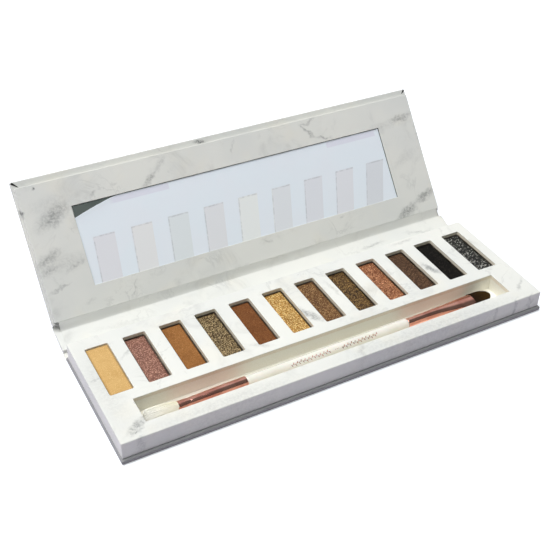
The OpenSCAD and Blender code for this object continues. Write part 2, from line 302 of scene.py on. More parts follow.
def cloudy_film():
    """Bluish protective film with a faint painted reflection of nine of the tray's pans."""
    look = Look("film", Roughness=0.32, Specular_IOR_Level=0.5, Coat_Weight=0.08,
                Coat_Roughness=0.25)
    point = look.millimetres(AT_LID)
    x, y, _ = look.split(point)
    foot = local_box("mirror_film", AT_LID)[0].y / MM
    rise = look.calc("DIVIDE", look.minus(y, foot), PAN_REFLECTION_HEIGHT)
    leaned = look.minus(x, look.times(rise, PAN_REFLECTION_LEAN))
    spread = look.calc("ADD", look.times(rise, PAN_REFLECTION_SPREAD), 1.0)
    column = look.minus(look.calc("DIVIDE", leaned, spread), PAN_REFLECTION_START)
    column = look.calc("DIVIDE", column, PAN_REFLECTION_PITCH)
    across = look.calc("FRACT", column)
    count = len(PAN_REFLECTION_TINTS)
    soft = 0.02
    inside = look.times(
        look.between(across, 0.0, soft, PAN_REFLECTION_SHARE - soft, PAN_REFLECTION_SHARE),
        look.step(rise, 1.01, 0.98), look.between(column, -soft, 0.0, count - soft, count))
    ramp = look.add("ValToRGB", {0: look.calc("DIVIDE", column, float(count))})
    ramp.color_ramp.interpolation = "CONSTANT"
    stops = ramp.color_ramp.elements
    for index, tint in enumerate(PAN_REFLECTION_TINTS):
        stop = stops[index] if index < 2 else stops.new(index / count)
        stop.position = index / count
        stop.color = linear(*tint)
    cloudy = look.noise(point, 0.045, 3.0, 0.5, 0.4)
    base = look.mix(look.step(cloudy, 0.35, 0.65), (236, 244, 251), (237, 243, 250))
    grain = look.noise(point, 2.2, 4.0, 0.7)
    # Painted reflection of the pans: each reflected pan's tint, with a faint grain
    pan_reflection = look.mix(look.step(grain, 0.4, 0.7, 0.0, 0.2), ramp.outputs[0], (236, 240, 244))
    colour = look.mix(look.times(inside, 0.92), base, pan_reflection)
    # A broken, thin grey outline along each painted pan reflection's left side and top
    reflection_outline = look.largest(look.step(across, 0.055, 0.02), look.step(rise, 0.955, 0.975))
    broken = look.step(look.noise(point, 0.5, 3.0, 0.6), 0.4, 0.6, 0.1, 0.5)
    colour = look.mix(look.times(reflection_outline, inside, broken), colour, (176, 180, 186))
    # Two pale lavender bands under the window's upper edge
    high = look.between(y, 48.2, 48.6, 51.0, 51.4)
    left = look.between(x, -66.0, -62.0, -35.8, -35.2)
    right = look.between(x, 50.5, 51.1, 79.0, 80.5)
    band = look.times(high, look.largest(left, right), 0.55)
    look.set(Base_Color=look.mix(band, colour, (224, 221, 236)),
             Roughness=look.step(cloudy, 0.3, 0.7, 0.32, 0.36))
    look.bump(look.noise(point, 0.12, 3.0, 0.5), 0.2 * MM, 0.08)
    return look.material


# Finishes of the powders: flake size in cells a millimetre, share of bright flakes, metallic
# share, roughness, and grain height in mm
FINISHES = {
    "matte": (4.2, 0.1, 0.0, 0.9, 0.06),
    "satin": (3.8, 0.32, 0.08, 0.6, 0.06),
    "shimmer": (3.3, 0.32, 0.14, 0.45, 0.1),
    "glitter": (3.2, 0.38, 0.2, 0.4, 0.14),
    "sparkle": (3.0, 0.13, 0.1, 0.45, 0.14),
}

# Each powder from left to right: slot, finish, base colour, dark grain, bright flake
POWDERS = [
    ("powder_cream", "matte", (214, 177, 118), (192, 152, 92), (228, 196, 140)),
    ("powder_rose_brown", "shimmer", (144, 99, 82), (102, 66, 57), (204, 156, 134)),
    ("powder_caramel", "matte", (160, 110, 62), (124, 80, 42), (178, 130, 82)),
    ("powder_olive_taupe", "glitter", (104, 83, 52), (50, 38, 24), (208, 182, 132)),
    ("powder_russet", "matte", (128, 81, 46), (92, 55, 30), (148, 100, 64)),
    ("powder_gold_glitter", "glitter", (202, 151, 76), (128, 86, 34), (255, 230, 156)),
    ("powder_satin_brown", "satin", (111, 76, 42), (76, 48, 27), (192, 150, 98)),
    ("powder_bronze", "shimmer", (83, 57, 26), (38, 26, 12), (172, 134, 74)),
    ("powder_terracotta", "shimmer", (147, 89, 55), (96, 53, 33), (232, 170, 122)),
    ("powder_dark_brown", "satin", (73, 48, 29), (44, 27, 17), (136, 102, 70)),
    ("powder_black", "matte", (19, 17, 15), (8, 7, 6), (66, 60, 52)),
    ("powder_charcoal_glitter", "sparkle", (24, 24, 22), (9, 9, 8), (236, 234, 224)),
]


def pressed_powder(node, seed, finish, base, dark, bright):
    """Pressed powder: fine grain, soft patches and mica flakes that sit at their own tilts."""
    size, share, metallic, roughness, depth = FINISHES[finish]
    look = Look(node + "_look", Metallic=metallic, Roughness=roughness,
                Specular_IOR_Level=0.15 if finish == "matte" else 0.3)
    point = look.millimetres()
    shifted = look.add("Mapping", {
        "Vector": point, "Location": (seed * 31.0, seed * 17.0, 0)}).outputs[0]
    grain = look.noise(shifted, 2.6, 6.0, 0.78)
    colour = look.mix(look.step(grain, 0.36, 0.6), dark, base)
    patch = look.noise(shifted, 0.16, 3.0, 0.5, 0.5)
    colour = look.mix(look.step(patch, 0.42, 0.68, 0.0, 0.5), colour, dark)
    cells = look.add("TexVoronoi", {"Vector": shifted, "Scale": size}).outputs
    chance, tilt, depth_of_cell = look.split(cells["Color"])
    hollow = look.step(depth_of_cell, 0.62, 0.85, 0.0, share * 1.6)
    colour = look.mix(hollow, colour, dark)
    flake = look.times(look.step(chance, 1.0 - share, 1.0 - share * 0.6),
                       look.step(cells["Distance"], 0.75, 0.45))
    colour = look.mix(flake, colour, bright)
    # Darker border round the cake: partly crumbled powder, partly painted shade where the cake
    # meets its window
    low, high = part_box(node)
    aside, along = (
        look.minus(look.calc("ABSOLUTE", look.minus(value, centre / MM)), half / MM)
        for value, centre, half in zip(look.split(point)[:2], (low + high) / 2, (high - low) / 2))
    ragged = look.times(look.noise(shifted, 0.9, 3.0), 0.4)
    rim = look.calc("ADD", look.largest(aside, along), ragged)
    painted_border_shade = look.step(rim, -0.25, 0.15, 0.0, 0.25 if seed == 1 else 0.85)
    look.set(Base_Color=look.mix(painted_border_shade, colour, tuple(value * 0.3 for value in dark)))
    if finish != "matte":
        look.set(Roughness=look.step(flake, 0.0, 1.0, roughness + 0.12, roughness - 0.12))
    relief = look.calc("ADD", look.times(grain, 0.6), look.times(tilt, flake, share))
    look.bump(relief, depth * MM)
    return look.material


def bristle(name, root, tip, start, end, streaks=0.6, sheen=0.05, relief=0.6):
    """Fine hair that changes colour from root to tip, between two places along the brush."""
    look = Look(name, Roughness=0.55, Specular_IOR_Level=0.1 + sheen, Sheen_Weight=sheen,
                Sheen_Roughness=0.4)
    point = look.millimetres(AT_BRUSH)
    share = look.step(look.split(point)[0], start / MM, end / MM)
    strand = look.noise(look.scaled(point, 0.15, 6.0, 6.0), 1.2, 3.0, 0.6)
    streak = look.step(strand, 0.45, 0.75, 0.0, streaks)
    look.set(Base_Color=look.mix(streak, look.mix(share, root, tip),
                                 tuple(value * 0.88 for value in root)))
    look.bump(strand, 0.05 * MM, relief)
    return look.material


def floor_paper():
    """Seamless paper: blown out to white in view, and a duller bounce onto the object's walls."""
    look = Look("floor_paper", Roughness=0.9, Specular_IOR_Level=0.1,
                Emission_Color=(1, 1, 1, 1))
    point = look.millimetres()
    tone = look.noise(point, 0.01, 2.0)
    seen = look.add("LightPath").outputs["Is Camera Ray"]
    paper = look.mix(look.step(tone, 0.3, 0.7), (246, 249, 255), (244, 248, 255))
    look.set(Base_Color=look.mix(seen, (216, 211, 226), paper),
             Emission_Strength=look.times(seen, 0.3))
    return look.material


# ---------------- meshes

class Skin:
    """Points and faces of one closed surface, collected loop by loop."""

    def __init__(self):
        self.points = []
        self.faces = []
        self.kinds = []

    def loop(self, outline):
        start = len(self.points)
        self.points += [tuple(point) for point in outline]
        return list(range(start, len(self.points)))

    def face(self, corners, kind=0):
        self.faces.append(tuple(corners))
        self.kinds.append(kind)

    def bridge(self, first, second, kind=0):
        """Quads between two loops of the same length."""
        count = len(first)
        for i in range(count):
            j = (i + 1) % count
            self.face((first[i], first[j], second[j], second[i]), kind)

    def cap(self, loops):
        """Fills the first loop, around the others."""
        flat = [index for loop in loops for index in loop]
        outlines = [[Vector(self.points[index]) for index in loop] for loop in loops]
        for triangle in geometry.tessellate_polygon(outlines):
            self.face([flat[corner] for corner in triangle])

    def tube(self, loops, closed=True):
        """Quads from each loop to the next, and a face at either end if it is closed."""
        for first, second in zip(loops, loops[1:]):
            self.bridge(first, second)
        if closed:
            self.face(loops[0])
            self.face(loops[-1])

    def grid(self, rows):
        """Quads between rows of indices."""
        for row, above in zip(rows, rows[1:]):
            for i in range(len(row) - 1):
                self.face((row[i], row[i + 1], above[i + 1], above[i]))

    def sheet(self, under, over):
        """Two grids of rows, closed all the way round."""
        self.grid(under)
        self.grid(over)
        for side in (0, -1):
            self.grid([under[side], over[side]])
        for side in (0, -1):
            self.grid([[row[side] for row in under], [row[side] for row in over]])


def piece(name, skin, materials, place=AT_BASE, sharp=38.0, weighted=True):
    """A Blender object from a skin, with outward normals and smooth shading between sharp edges."""
    mesh = bpy.data.meshes.new(name)
    mesh.from_pydata([place @ Vector(point) for point in skin.points], [], skin.faces)
    for material in materials:
        mesh.materials.append(material)
    mesh.polygons.foreach_set("material_index", skin.kinds)
    work = bmesh.new()
    work.from_mesh(mesh)
    bmesh.ops.remove_doubles(work, verts=work.verts, dist=1e-7)
    bmesh.ops.recalc_face_normals(work, faces=work.faces)
    work.to_mesh(mesh)
    work.free()
    return finished(name, mesh, sharp, weighted)


def finished(name, mesh, sharp=38.0, weighted=True):
    """Links a mesh as an object and gives it its shading."""
    mesh.polygons.foreach_set("use_smooth", [True] * len(mesh.polygons))
    mesh.set_sharp_from_angle(angle=math.radians(sharp))
    made = bpy.data.objects.new(name, mesh)
    bpy.context.scene.collection.objects.link(made)
    if weighted:
        shading = made.modifiers.new("even_shading", "WEIGHTED_NORMAL")
        shading.keep_sharp = True
    return made


def wrapped_board(name, node, place, material, edge):
    """A greyboard panel wrapped in paper: a slab whose edges are rounded by the paper's turn."""
    low, high = local_box(node, place)
    work = bmesh.new()
    bmesh.ops.create_cube(work, size=1.0)
    bmesh.ops.scale(work, vec=high - low, verts=work.verts)
    bmesh.ops.translate(work, vec=(low + high) / 2, verts=work.verts)
    bmesh.ops.bevel(work, geom=work.edges, offset=edge, segments=4, profile=0.5,
                    affect="EDGES")
    bmesh.ops.transform(work, matrix=place, verts=work.verts)
    mesh = bpy.data.meshes.new(name)
    work.to_mesh(mesh)
    work.free()
    mesh.materials.append(material)
    return finished(name, mesh)


def rounded_rectangle(low, high, radius, grow, z, steps=5):
    """Outline of a rectangle from low to high, grown outwards, with round corners."""
    x0, y0, x1, y1 = low[0] - grow, low[1] - grow, high[0] + grow, high[1] + grow
    radius = max(radius + grow, 0.01 * MM)
    corners = [(x1 - radius, y1 - radius, 0), (x0 + radius, y1 - radius, 90),
               (x0 + radius, y0 + radius, 180), (x1 - radius, y0 + radius, 270)]
    outline = []
    for x, y, start in corners:
        for k in range(steps + 1):
            angle = math.radians(start + 90 * k / steps)
            outline.append((x + radius * math.cos(angle), y + radius * math.sin(angle), z))
    return outline


def quarter_turn(steps=4):
    """Sine and cosine of angles from 0 to 90 degrees."""
    return [(math.sin(math.radians(90 * k / steps)), math.cos(math.radians(90 * k / steps)))
            for k in range(steps + 1)]


def pierced_panel(skin, outer, holes, low, high, rim, lip, skirt=None):
    """A panel with rounded upper edges and holes; skirt is the foot and thickness of its walls."""
    def turned_edge(outline, reach):
        return [skin.loop(rounded_rectangle(*outline, reach * (1 - sine),
                                            high - abs(reach) * (1 - cosine)))
                for sine, cosine in quarter_turn()]

    edge_loops = turned_edge(outer, -rim)
    walls = [(0, low)]
    if skirt:
        foot, wall = skirt
        turn = 0.45 * MM
        walls = [(0, foot + turn), (-0.3 * turn, foot + 0.3 * turn), (-turn, foot),
                 (-wall, foot), (-wall, low)]
    edge_loops += [skin.loop(rounded_rectangle(*outer, grow, z)) for grow, z in walls]
    skin.tube(edge_loops, closed=False)
    tops, feet = [edge_loops[0]], [edge_loops[-1]]
    for hole in holes:
        loops = turned_edge(hole, lip)
        skin.tube(loops, closed=False)
        bottom = skin.loop(rounded_rectangle(*hole, 0, low))
        skin.bridge(loops[-1], bottom, 1)
        tops.append(loops[0])
        feet.append(bottom)
    skin.cap(tops)
    skin.cap(feet)


def softened(points, rounds=2, pitch=0.5 * MM):
    """A polyline with its corners cut round after round, then with points a pitch apart."""
    for _ in range(rounds):
        cut = [points[0]]
        for first, second in zip(points, points[1:]):
            cut += [first.lerp(second, 0.25), first.lerp(second, 0.75)]
        points = cut + [points[-1]]
    dense = [points[0]]
    for first, second in zip(points, points[1:]):
        count = max(1, round((second - first).length / pitch))
        dense += [first.lerp(second, k / count) for k in range(1, count + 1)]
    return dense


def paper_strip(name, lower_face, thickness, half_length, material, wobble):
    """A strip of paper along X that follows a profile of (y, z) points, with a slight wave."""
    profile = softened([Vector(point) for point in lower_face])
    normals = []
    for i in range(len(profile)):
        along = profile[min(i + 1, len(profile) - 1)] - profile[max(i - 1, 0)]
        normals.append(Vector((-along.y, along.x)).normalized())
    skin = Skin()
    stations = 60
    under, over = [], []
    for k in range(stations + 1):
        x = half_length * (2 * k / stations - 1)
        low_row, high_row = [], []
        for i, (point, normal) in enumerate(zip(profile, normals)):
            share = i / (len(profile) - 1)
            lift = wobble * math.sin(math.pi * share) * noise.noise((x * 60, share * 2, 3.1))
            low_row.append((x, *(point + normal * lift)))
            high_row.append((x, *(point + normal * (lift + thickness))))
        under.append(skin.loop(low_row))
        over.append(skin.loop(high_row))
    skin.sheet(under, over)
    return piece(name, skin, [material], sharp=60.0, weighted=False)


def loft(name, stations, material, sides=40, hole=False, ripple=0.0):
    """A tube through ovals (x, half width, half height, lift); ripple gives it faint flutes."""
    skin = Skin()
    loops = []
    for x, half_width, half_height, lift in stations:
        outline = []
        for k in range(sides):
            angle = 2 * math.pi * k / sides
            swell = 1 + ripple * math.sin(11 * angle)
            outline.append((x, half_width * swell * math.cos(angle),
                            lift + half_height * swell * math.sin(angle)))
        loops.append(skin.loop(outline))
    skin.tube(loops + loops[:1] if hole else loops, closed=not hole)
    return piece(name, skin, [material], AT_BRUSH, sharp=50.0, weighted=False)


def blade(skin, path, width, side, taper=0.75):
    """A tapered three-sided hair along a path; taper is the share of width it loses."""
    rings = []
    last = len(path) - 1
    for i, point in enumerate(path):
        along = (path[min(i + 1, last)] - path[max(i - 1, 0)]).normalized()
        across = along.cross(side).normalized()
        up = across.cross(along)
        reach = width * (1.0 - taper * (i / last) ** 2)
        corners = [point + (across * math.cos(a) + up * math.sin(a)) * reach
                   for a in (0.0, 2 * math.pi / 3, 4 * math.pi / 3)]
        rings.append(skin.loop(corners))
    skin.tube(rings)


# ---------------- materials in use

LID_CLOUDS = [
    (-103.5, 28, -84, 27.5, 5, 0.2), (-101, 54, -80, 57, 4.5, 0.14),
    (73, 50, 92, 53, 3, 0.2), (84, 30, 100, 36, 3, 0.14),
    (-97, 46.5, -86, 52.5, 4.6, 0.62), (-103.5, 30, -94, 33.5, 3.2, 0.5),
    (-103, 26, -97, 27, 3, 0.42), (-92.5, 24.3, -83.5, 27.6, 1.6, 0.42),
    (-103.4, 16.2, -93, 18.6, 0.9, 0.42), (-33.6, 64.2, -40.5, 57, 1.8, 0.26),
    (-40.5, 57, -46.5, 52.6, 1.6, 0.62), (-63.2, 13, -67.7, 3.6, 0.7, 0.32),
    (-73, 54.2, -70, 55.4, 1.3, 0.42), (-62, 56, -60, 56.2, 1, 0.3),
    (-16.4, 66.6, -11.2, 66.2, 1.1, 1), (-97.5, 62.6, -96.8, 63.6, 0.75, 1),
    (49, 64.6, 40, 62.6, 1, 0.42), (39.6, 62.6, 45.6, 54.6, 1, 0.6),
    (45.2, 54.8, 55, 52.4, 0.8, 0.5), (2.4, 64, -0.8, 56, 0.8, 0.24),
    (90, 53.4, 104, 55, 2.2, 0.55), (103.6, 13.5, 93, 9.6, 2.7, 0.66),
    (91, 8.6, 79.2, 3, 2.8, 0.68), (104.4, 50, 104, 38, 0.7, 0.35),
    (2.6, 12.8, 7, 11, 1.3, 0.3), (49.2, 13.1, 47, 12.6, 0.7, 0.3),
    (-104.9, 54.8, -104.2, 52.2, 1.2, 1), (-88, 8, -84, 9, 1.2, 0.15),
]
TRAY_CLOUDS_AND_PAINTED_SHADE = [
    # The first three are painted shade: grey bands along the front rim and over the left end,
    # darker as shade would make them
    (-96, -29.6, -20, -29.6, 4.5, 0.22), (-10, -29.6, 96, -29.6, 4.5, 0.24),
    (-99.5, -20, -99.5, 22, 7, 0.18),
    (87, -33.5, 92.5, -30.5, 0.9, 0.4), (77, -33, 80.5, -31, 0.6, 0.32),
    (97, -33, 101, -31, 0.8, 0.35), (-99, -33, -95.5, -31.5, 1.2, 0.3),
    (-78.4, 18.9, -87, 13, 1.2, 0.3), (-103.9, 5, -97.5, 7.2, 1.2, 0.35),
    (-99.5, -28.2, -91.5, -22.8, 2.8, 0.62), (-98, -28.6, -97.2, -28, 0.5, 0.9),
    # A speck of painted shadow at the brush well's left corner
    (-92, -13.3, -91.7, -13.3, 0.4, 0.9),
    (-4.2, 7.5, 1.8, -2.6, 2.6, 0.75), (66.6, 10.5, 70.4, 1.8, 2.2, 0.75),
    (22, 3.2, 36, 5, 2.6, 0.3), (8.3, -25.6, 5.6, -31, 2.4, 0.4),
    (-34, -4, -27, -8, 2, 0.3), (17, 22, 19, 6, 1.3, 0.25),
    (92, 24, 101, 12, 2.2, 0.3), (62, 29, 75, 30.5, 1.3, 0.3),
    (54, -28, 62, -30, 1.4, 0.3), (-58, 29, -40, 30.5, 1, 0.18),
    (7.7, 30, 8.3, 30.6, 0.3, 0.9), (96, -26, 103, -20, 1.2, 0.4),
]
SPINE_CLOUDS = [
    (52, 6.2, 66, 7, 1.3, 0.4), (-90, 7, -60, 5, 1.4, 0.16),
    (80, 8, 96, 4, 1.2, 0.3), (-40, 1.6, -34, 4, 1.4, 0.25),
]

tray_marble = marble_paper("marble_tray", AT_BASE, TRAY_CLOUDS_AND_PAINTED_SHADE)
# The base board's paper carries painted shade: darker and bluer all over
base_marble_painted_shade = marble_paper("marble_base_painted_shade", painted_shade=0.72)
spine_marble = marble_paper("marble_spine", AT_SPINE, SPINE_CLOUDS)
lid_marble = marble_paper("marble_lid", AT_LID, LID_CLOUDS)
# The lid's outer board carries a little painted shade
lid_cover_marble_painted_shade = marble_paper("marble_lid_cover_painted_shade", AT_LID, LID_CLOUDS, painted_shade=0.1)
window_card = fibrous("window_card", (232, 222, 202), (252, 246, 232), 2.6, 0.75)
well_lining = fibrous("well_lining", (246, 243, 229), (253, 251, 242), 1.6, 0.34, 0.02 * MM)
greyboard = fibrous("greyboard", (140, 134, 122), (184, 178, 168), 2.2, 0.9, 0.1 * MM)
adhesive = fibrous("adhesive", (196, 194, 186), (216, 214, 208), 1.2, 0.6)
# Painted shadow and reflection, dark greenish, for the mirror window's upper and right walls
window_wall_painted_shade = fibrous("window_wall_painted_shade", (52, 62, 56), (84, 96, 88), 1.5, 0.5)
slit_shadow = fibrous("slit_shadow", (22, 22, 22), (46, 45, 43), 3.0, 0.9)
tin = metal("tin", (70, 64, 56), (120, 112, 102), 0.45)
steel = metal("steel_plate", (140, 142, 146), (186, 188, 192), 0.38, (6, 0.4, 1))
magnet = metal("magnet", (120, 122, 126), (170, 172, 176), 0.3)
rose_gold = metal("rose_gold", (214, 148, 132), (238, 180, 162), 0.16, (6.0, 0.5, 0.5), 0.05,
                  AT_BRUSH)
foil = metal("rose_gold_foil", (150, 92, 80), (196, 132, 114), 0.32, (3.0, 3.0, 3.0), 0.08,
             AT_BRUSH)
glass = mirror_glass()
film = cloudy_film()
white_lacquer = lacquer()


# ---------------- cover

def build_boards():
    """The three wrapped boards of the cover, each a slab with rounded edges."""
    for name, node, body, place, material in (
            ("base_cover", "base_board", "base", AT_BASE, base_marble_painted_shade),
            ("spine_cover", "spine_board", "spine", AT_SPINE, spine_marble),
            ("lid_cover", "lid_board", "lid", AT_LID, lid_cover_marble_painted_shade)):
        board = wrapped_board(name, node, place, material, 0.55 * MM)
        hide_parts(node)
        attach(board, body)


def carry_the_rest():
    """Materials of the CAD nodes that stay as they are."""
    for material, nodes in (
            (spine_marble, ["spine_lining"]), (adhesive, ["mirror_tape"]),
            (magnet, ["lid_magnets"]), (steel, ["catch_plates"]),
            (greyboard, ["pan_carrier", "pan_deck", "deck_risers"]),
            (well_lining, ["well_floor_lining", "well_wall_front", "well_wall_rear",
                           "well_wall_left", "well_wall_right"]),
            (tin, [f"pan_{number:02d}" for number in range(1, 13)])):
        for node in nodes:
            for holder in frame["nodes"][node].material_slots:
                holder.material = material


def crease_faces():
    """Profile points (y, z) of the four strips, from the boards' own boxes."""
    base_low, base_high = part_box("base_board")
    spine_low, spine_high = local_box("spine_board", AT_SPINE)
    panel_low, panel_high = local_box("lid_panel", AT_LID)
    lid_low = local_box("lid_board", AT_LID)[0]
    lining_low, lining_high = local_box("spine_lining", AT_SPINE)
    tray_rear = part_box("tray_wall_rear")[1].y
    bend = lid_low.z * math.tan((LID_ANGLE - SPINE_ANGLE) / 2)
    lower_bend = base_low.z - LOWER_AXIS.z

    def turned(axis, angle, y, z):
        return axis.yz + Vector((y * math.cos(angle) - z * math.sin(angle),
                                 y * math.sin(angle) + z * math.cos(angle)))

    def on_spine(y, z):
        return turned(LOWER_AXIS, SPINE_ANGLE, y, z)

    return {
        "lower_crease": [
            Vector((base_high.y, base_low.z)),
            LOWER_AXIS.yz + Vector((lower_bend * -math.tan(SPINE_ANGLE / 2), lower_bend)),
            on_spine(spine_low.y, spine_low.z)],
        "lower_liner": [
            Vector((tray_rear, base_high.z)), Vector((base_high.y, base_high.z)),
            on_spine(spine_low.y, spine_high.z), on_spine(lining_low.y, spine_high.z)],
        "upper_crease": [
            on_spine(spine_high.y, spine_low.z),
            turned(UPPER_AXIS, SPINE_ANGLE, -bend, lid_low.z),
            turned(UPPER_AXIS, LID_ANGLE, lid_low.y, lid_low.z)],
        "upper_liner": [
            on_spine(lining_high.y, spine_high.z), on_spine(spine_high.y, spine_high.z),
            turned(UPPER_AXIS, LID_ANGLE, panel_low.y, panel_high.z)],
    }


def build_creases():
    """The four paper strips at the cover's folds, in their open shape."""
    bodies = {"lower": ("base", "spine", tray_marble), "upper": ("spine", "lid", spine_marble)}
    for node, face in crease_faces().items():
        first, second, material = bodies[node.split("_")[0]]
        low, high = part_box(node)
        outer = node.endswith("crease")
        strip = paper_strip(node + "_paper", face, PAPER, (high.x - low.x) / 2, material,
                            0.0 if outer else 0.18 * MM)
        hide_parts(node)
        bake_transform(strip)


def build_lid_panel():
    """The wrapped frame round the mirror; its window's upper and right walls are painted dark as
    the frame edge's shadow and reflection in the glass.
    """
    low, high = local_box("lid_panel", AT_LID)
    glass_low, glass_high = local_box("mirror_glass_plate", AT_LID)
    gap = Vector((0.2, 0.2, 0)) * MM
    window = (glass_low - gap, glass_high + gap, 0.12 * MM)
    skin = Skin()
    pierced_panel(skin, (low, high, 0.25 * MM), [window], low.z, high.z, 0.18 * MM, 0.14 * MM)
    panel = piece("lid_frame", skin, [lid_marble, window_wall_painted_shade], AT_LID)
    inverse = AT_LID.inverted()
    # The left and lower window walls keep the marble; only the upper and right ones carry the
    # painted shade
    for polygon in panel.data.polygons:
        centre = inverse @ polygon.center
        if centre.x < glass_low.x or centre.y < glass_low.y:
            polygon.material_index = 0
    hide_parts("lid_panel")
    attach(panel, "lid")


def build_mirror():
    """Mirror glass with a ground edge, and the cloudy film that leaves one corner bare."""
    plate = wrapped_board("mirror_plate", "mirror_glass_plate", AT_LID, glass, 0.15 * MM)
    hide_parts("mirror_glass_plate")
    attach(plate, "lid")

    low, high = local_box("mirror_film", AT_LID)
    overlap = 0.15 * MM
    low.x, low.y = low.x - overlap, low.y - overlap
    bare_length, bare_depth = 21.6 * MM, 5.4 * MM
    columns, rows = 110, 20
    skin = Skin()
    under, over = [], []
    for i in range(columns + 1):
        x = low.x + (high.x - low.x) * (i / columns) ** 1.15
        reach = max(0.0, 1.0 - (x - low.x) / bare_length)
        top = high.y - bare_depth * reach ** 1.25
        low_row, high_row = [], []
        for k in range(rows + 1):
            y = low.y + (top - low.y) * k / rows
            lift = 0.24 * MM * math.exp(-(top - y) / (1.6 * MM)) * min(1.0, reach * 6)
            lift += 0.02 * MM * (1 + noise.noise((x * 40, y * 40, 0.7)))
            low_row.append((x, y, low.z + lift))
            high_row.append((x, y, low.z + lift + 0.06 * MM))
        under.append(skin.loop(low_row))
        over.append(skin.loop(high_row))
    skin.sheet(under, over)
    sheet = piece("mirror_film_sheet", skin, [film], AT_LID, sharp=60.0, weighted=False)
    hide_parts("mirror_film")
    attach(sheet, "lid")


def build_corner_folds():
    """The slits where the cover paper is folded over at the lid's two upper corners: dark wedges
    that paint the shadow inside each slit.
    """
    low, high = local_box("lid_board", AT_LID)
    steps = 8
    for name, side, length in (("left", -1, 3.6 * MM), ("right", 1, 2.6 * MM)):
        corner = Vector((low.x if side < 0 else high.x, high.y, high.z))
        inward = Vector((-side * 0.74, -0.67, 0)).normalized()
        across = Vector((-inward.y, inward.x, 0)) * side
        skin = Skin()
        rows = []
        for k in range(steps + 1):
            share = k / steps
            centre = corner + inward * (0.8 * MM + length * share)
            half = 0.5 * MM * (1 - share) ** 0.7 + 0.03 * MM
            # A low wedge: its foot is inside the board, and one side stands prouder
            rows.append(skin.loop([
                centre + across * half * way + Vector((0, 0, height * MM))
                for way, height in ((-1, -0.2), (-1, 0.1), (1, 0.04), (1, -0.2))]))
        skin.tube(rows)
        slit = piece("corner_slit_" + name, skin, [slit_shadow], AT_LID)
        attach(slit, "lid")


# ---------------- tray

def build_tray():
    low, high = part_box("tray_top")
    wall_low, wall_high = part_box("tray_wall_front")
    wall = wall_high.y - wall_low.y
    foot = wall_low.z
    slip = Vector((0.2, 0.2, 0)) * MM
    holes = []
    for number in range(1, 13):
        pan_low, pan_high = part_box(f"pan_{number:02d}")
        holes.append((pan_low - slip, pan_high + slip, 0.7 * MM))
    well_low, well_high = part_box("well_floor_lining")
    holes.append((well_low, well_high, 0.2 * MM))
    skin = Skin()
    pierced_panel(skin, (low, high, 0.5 * MM), holes, low.z, high.z, 0.4 * MM, 0.16 * MM,
                  (foot, wall))
    tray = piece("tray_wrap", skin, [tray_marble, window_card])
    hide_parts("tray_top", "tray_wall_front", "tray_wall_rear", "tray_wall_left",
                "tray_wall_right")
    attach(tray, "base")


def powder_cake(index):
    """One pressed cake: a fine grid with worn edges, a slight crown and small chips."""
    node = f"powder_{index:02d}"
    slot, *recipe = POWDERS[index - 1]
    low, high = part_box(node)
    centre = (low + high) / 2
    # The first powder is heaped over its window's edge
    heaped = index == 1
    crown = 0.16 * MM if heaped else 0.05 * MM
    spill = 0.32 * MM if heaped else 0.0
    half_x, half_y = (high.x - low.x) / 2 + spill, (high.y - low.y) / 2 + spill
    corner = 0.5 * MM
    columns, rows = 34, 104

    def surface_point(x, y):
        """A point of the cake's top, from its place in a square-cornered grid."""
        over_x, over_y = abs(x) - (half_x - corner), abs(y) - (half_y - corner)
        if over_x > 0 and over_y > 0:
            reach = math.hypot(over_x, over_y)
            if reach > corner:
                x = math.copysign(half_x - corner + over_x * corner / reach, x)
                y = math.copysign(half_y - corner + over_y * corner / reach, y)
        edge = max(0.0, min(half_x - abs(x), half_y - abs(y)))
        grain = noise.noise((x * 900, y * 900, index * 5.0))
        swell = noise.noise((x * 160, y * 160, index * 3.0))
        drop = crown * (1 - (edge / half_x) ** 0.8) + 0.14 * MM * math.exp(-edge / (0.25 * MM))
        drop += (0.02 + 0.006 * grain + 0.02 * (swell + 1)) * MM
        chip = noise.noise((x * 420, y * 420, index * 9.0 + 4))
        if chip > 0.42 and edge < 0.9 * MM:
            drop += 0.16 * MM
        return (centre.x + x, centre.y + y, high.z - drop)

    skin = Skin()
    top_rows = [skin.loop([
        surface_point(half_x * (2 * i / columns - 1), half_y * (2 * k / rows - 1))
        for i in range(columns + 1)]) for k in range(rows + 1)]
    skin.grid(top_rows)
    rim = (top_rows[0] + [row[-1] for row in top_rows[1:-1]] + top_rows[-1][::-1]
           + [row[0] for row in top_rows[-2:0:-1]])

    def below(z, share_x=1.0, share_y=1.0):
        """The rim's outline at another height, drawn in towards the centre."""
        return skin.loop([(centre.x + (skin.points[i][0] - centre.x) * share_x,
                           centre.y + (skin.points[i][1] - centre.y) * share_y, z) for i in rim])

    if heaped:
        shelf_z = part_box(f"pan_{index:02d}")[1].z + 0.02 * MM
        inside = ((half_x - spill) / half_x, (half_y - spill) / half_y)
        loops = [rim, below(shelf_z), below(shelf_z, *inside), below(low.z, *inside)]
    else:
        loops = [rim, below(low.z)]
    skin.tube(loops, closed=False)
    skin.face(loops[-1])
    look = pressed_powder(node, index, *recipe)
    cake = piece(node + "_cake", skin, [look], sharp=50.0, weighted=False)
    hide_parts(node)
    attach(cake, "base")


# ---------------- brush

def clamped(value, low, high):
    return max(min(value, high), low)


def eased(values, share):
    """Reads a table of (position, value) pairs with smooth steps between them."""
    for (p0, v0), (p1, v1) in zip(values, values[1:]):
        if share <= p1:
            t = min(1.0, max(0.0, (share - p0) / (p1 - p0)))
            return v0 + (v1 - v0) * t * t * (3 - 2 * t)
    return values[-1][1]


def handle_radius(share):
    """The handle is a little fuller at its right end."""
    return (2.42 + 0.26 * share) * MM


